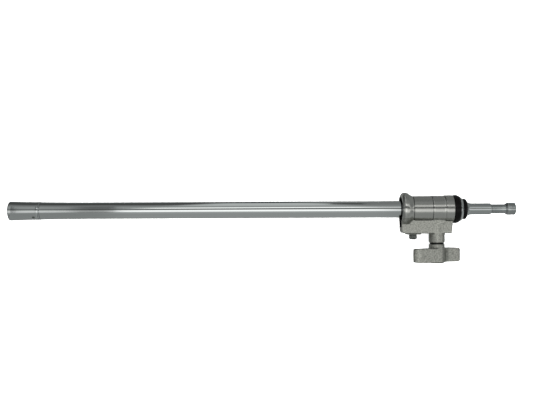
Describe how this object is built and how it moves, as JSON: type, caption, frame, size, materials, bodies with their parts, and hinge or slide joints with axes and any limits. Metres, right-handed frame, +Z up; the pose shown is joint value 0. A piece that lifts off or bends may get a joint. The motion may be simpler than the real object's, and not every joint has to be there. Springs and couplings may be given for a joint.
{
  "type": "lighting stand top riser",
  "caption": "Chromed telescopic riser tube with a spigot stud, sliding and turning in a cast clamp collar locked by a T-handle.",
  "frame": {"origin": "middle of the base of the object's box, the part lying on its side", "axes": "+X along the tube towards the spigot stud, -Y the side that the T-handle is on, +Z up"},
  "size_m": [0.6716, 0.094, 0.0443],
  "materials": {
    "chrome_plate": "bright chromium plate on steel, drawn along its length",
    "cast_aluminium": "die-cast, tumbled to a soft shine, with a fine grain",
    "satin_steel": "turned steel, satin nickel plate",
    "dark_steel": "dull dark zinc plate",
    "brass": "turned, threaded inside",
    "rubber": "black, slightly shiny, moulded",
    "nylon": "black nylon, moulded",
    "fibre": "brown friction liner"
  },
  "bodies": {
    "collar": {"collar_casting": "cast_aluminium", "guide_sleeve": "nylon", "bumper_ring": "rubber", "spindle_insert": "brass", "tube_fixing_screw": "dark_steel", "fixing_screw_washer": "dark_steel"},
    "shoe": {"clamp_shoe": "cast_aluminium", "shoe_liner": "fibre"},
    "handle": {"t_handle": "cast_aluminium", "clamp_spindle": "satin_steel", "spindle_washer": "rubber", "handle_roll_pin": "dark_steel"},
    "carriage": {"thrust_ring": "chrome_plate"},
    "riser": {"riser_tube": "chrome_plate", "foot_bush": "chrome_plate", "stop_ring": "chrome_plate", "foot_plug": "nylon", "spigot_stud": "satin_steel", "stud_o_ring": "rubber", "stud_cross_pin": "dark_steel", "foot_pin_1": "dark_steel", "foot_pin_2": "dark_steel"}
  },
  "joints": [
    {"name": "riser_slide", "type": "slide", "parent": "collar", "child": "carriage", "axis": [1, 0, 0], "range_m": [0, 0.48]},
    {"name": "riser_spin", "type": "hinge", "parent": "carriage", "child": "riser", "pos_m": [0.25305, 0.02488, 0.02215], "axis": [1, 0, 0], "continuous": true},
    {"name": "shoe_slide", "type": "slide", "parent": "collar", "child": "shoe", "axis": [0, -1, 0], "range_m": [0, 0.003]},
    {"name": "handle_turn", "type": "hinge", "parent": "shoe", "child": "handle", "pos_m": [0.23185, -0.02, 0.02215], "axis": [0, -1, 0], "range_deg": [0, 720]}
  ],
  "couplings": [
    {"joint": "shoe_slide", "follows": "handle_turn", "m_per_rad": 0.0002387}
  ]
}
